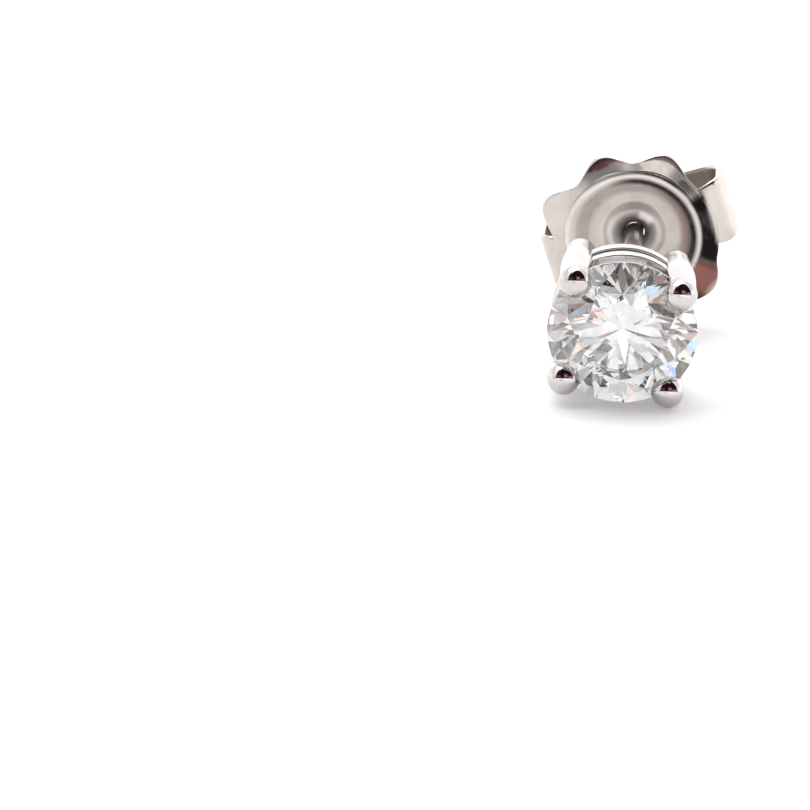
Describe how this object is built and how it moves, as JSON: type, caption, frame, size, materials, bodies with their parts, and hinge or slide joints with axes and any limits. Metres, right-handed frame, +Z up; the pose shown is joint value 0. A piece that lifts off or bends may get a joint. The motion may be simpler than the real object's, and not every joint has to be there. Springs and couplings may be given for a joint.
{
  "type": "stud earring",
  "caption": "Four-prong stud earring with a round faceted stone, a straight post and a dished, scalloped friction back with two scrolled wings.",
  "frame": {"origin": "under the middle of the earring, on the surface that it lies on", "axes": "+Z up from that surface, +Y from the stone towards the friction back, +X to the right as the stone is faced"},
  "size_m": [0.0074, 0.0144, 0.0067],
  "materials": {
    "diamond": "clear, polished facets",
    "polished_white_gold": "mirror polished white gold",
    "pressed_white_gold": "soft sheen of pressed white gold sheet"
  },
  "bodies": {
    "stud": {"brilliant_stone": "diamond", "setting_with_post": "polished_white_gold"},
    "back": {"friction_back": "pressed_white_gold"}
  },
  "joints": [
    {"name": "back_slide", "type": "slide", "parent": "stud", "child": "back", "axis": [0, 0.9957, 0.0929], "range_m": [-0.006, 0.0036]}
  ]
}
